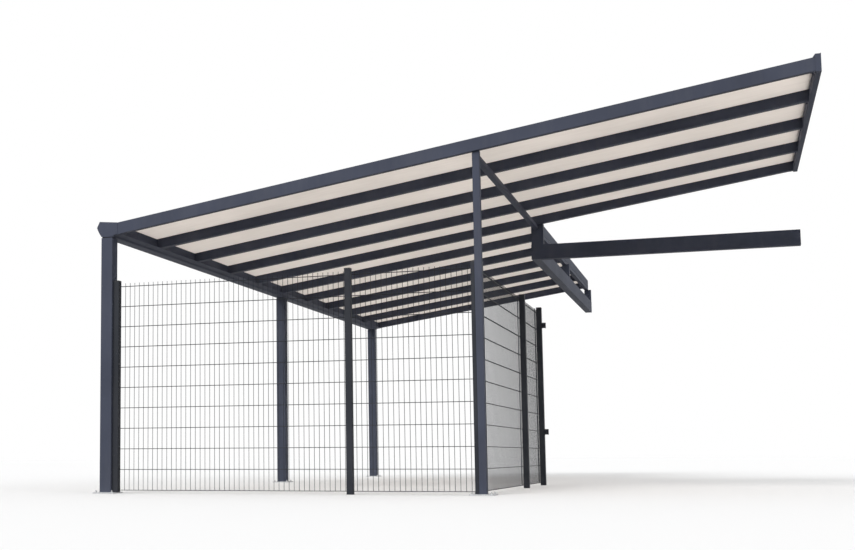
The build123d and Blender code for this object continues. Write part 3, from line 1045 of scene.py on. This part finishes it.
class CARPORT_OT_stage(bpy.types.Operator):
    """Sets the floor, the light and the camera"""

    bl_idname = "carport.stage"
    bl_label = "Stage"

    def execute(self, context):
        scene = context.scene
        floor_radius = 160.0
        floor_bounce = 0.28
        ambient = 0.74
        bm = bmesh.new()
        bmesh.ops.create_circle(bm, cap_ends=True, radius=floor_radius, segments=96)
        mesh = bpy.data.meshes.new("floor")
        bm.to_mesh(mesh)
        bm.free()
        floor = bpy.data.objects.new("floor", mesh)
        floor.location = (3.0, 5.0, -0.001)
        scene.collection.objects.link(floor)
        tree, shader = new_finish("floor")
        pale = scene.carport_colours.floor
        bounced = blend_colour(tree, seen_directly(tree), shade(pale, floor_bounce), pale)
        tree.links.new(bounced, shader.inputs["Base Color"])
        shader.inputs["Roughness"].default_value = 0.9
        shader.inputs["Specular IOR Level"].default_value = 0.1
        mesh.materials.append(finishes["floor"])

        world = bpy.data.worlds.new("studio")
        world.use_nodes = True
        scene.world = world
        tree = world.node_tree
        background = tree.nodes["Background"]
        background.inputs["Color"].default_value = (1.0, 1.0, 1.0, 1.0)
        tree.links.new(remap(tree, seen_directly(tree), 0, 1, ambient, 1.0), background.inputs["Strength"])
        add_lamp("key_light", (-0.25, -0.85, 0.5), 1.7, 28, (1.0, 1.0, 1.0))
        add_lamp("fill_light", (0.70, -0.35, 0.50), 0.35, 40, (0.95, 0.97, 1.0))

        settings = scene.carport_camera
        data = bpy.data.cameras.new("camera")
        camera = bpy.data.objects.new("camera", data)
        scene.collection.objects.link(camera)
        turn, tilt, roll = settings.turn, settings.tilt, settings.roll
        forward = Vector((math.sin(turn) * math.cos(tilt), math.cos(turn) * math.cos(tilt), math.sin(tilt)))
        right = Vector((math.cos(turn), -math.sin(turn), 0))
        up = right.cross(forward)
        rolled_right = right * math.cos(roll) + up * math.sin(roll)
        rolled_up = up * math.cos(roll) - right * math.sin(roll)
        matrix = Matrix((rolled_right, rolled_up, -forward)).transposed().to_4x4()
        camera.matrix_world = Matrix.Translation(Vector(settings.place)) @ matrix
        data.sensor_fit = "HORIZONTAL"
        data.sensor_width = SENSOR_WIDTH
        data.lens = settings.focal / IMAGE_WIDTH * SENSOR_WIDTH
        data.shift_x = 0.5 - settings.centre[0] / IMAGE_WIDTH
        data.shift_y = (settings.centre[1] - IMAGE_HEIGHT / 2) / IMAGE_WIDTH
        data.clip_end = 1000.0
        scene.camera = camera
        scene.view_settings.view_transform = "Standard"
        return {"FINISHED"}


class CARPORT_PT_panel(bpy.types.Panel):
    """Lists the carport's steps in the sidebar"""

    bl_idname = "CARPORT_PT_panel"
    bl_label = "Carport"
    bl_space_type = "VIEW_3D"
    bl_region_type = "UI"
    bl_category = "Carport"

    def draw(self, context):
        for operator in OPERATORS:
            self.layout.operator(operator.bl_idname)
        for name in SETTINGS:
            group = getattr(context.scene, name)
            box = self.layout.box()
            for key in group.__annotations__:
                box.prop(group, key)


SETTINGS = {
    "carport_roof": CarportRoofSizes,
    "carport_posts": CarportPostSizes,
    "carport_screens": CarportScreenSizes,
    "carport_colours": CarportColours,
    "carport_camera": CarportCamera,
}
OPERATORS = [
    CARPORT_OT_finishes,
    CARPORT_OT_roof_sheets,
    CARPORT_OT_seals,
    CARPORT_OT_cover_screws,
    CARPORT_OT_gutter_fittings,
    CARPORT_OT_posts,
    CARPORT_OT_foot_fixings,
    CARPORT_OT_beam_fixings,
    CARPORT_OT_wall_fixings,
    CARPORT_OT_wire_mats,
    CARPORT_OT_mesh_posts,
    CARPORT_OT_mesh_clamps,
    CARPORT_OT_stage,
]


def register():
    for group in SETTINGS.values():
        bpy.utils.register_class(group)
    for name, group in SETTINGS.items():
        setattr(bpy.types.Scene, name, bpy.props.PointerProperty(type=group))
    for operator in OPERATORS:
        bpy.utils.register_class(operator)
    bpy.utils.register_class(CARPORT_PT_panel)


def unregister():
    bpy.utils.unregister_class(CARPORT_PT_panel)
    for operator in reversed(OPERATORS):
        bpy.utils.unregister_class(operator)
    for name, group in SETTINGS.items():
        delattr(bpy.types.Scene, name)
        bpy.utils.unregister_class(group)


def main():
    register()
    bpy.ops.carport.finishes()
    bpy.ops.carport.roof_sheets()
    bpy.ops.carport.seals()
    bpy.ops.carport.cover_screws()
    bpy.ops.carport.gutter_fittings()
    bpy.ops.carport.posts()
    bpy.ops.carport.foot_fixings()
    bpy.ops.carport.beam_fixings()
    bpy.ops.carport.wall_fixings()
    bpy.ops.carport.wire_mats()
    bpy.ops.carport.mesh_posts()
    bpy.ops.carport.mesh_clamps()
    bpy.ops.carport.stage()


if __name__ == "__main__":
    main()
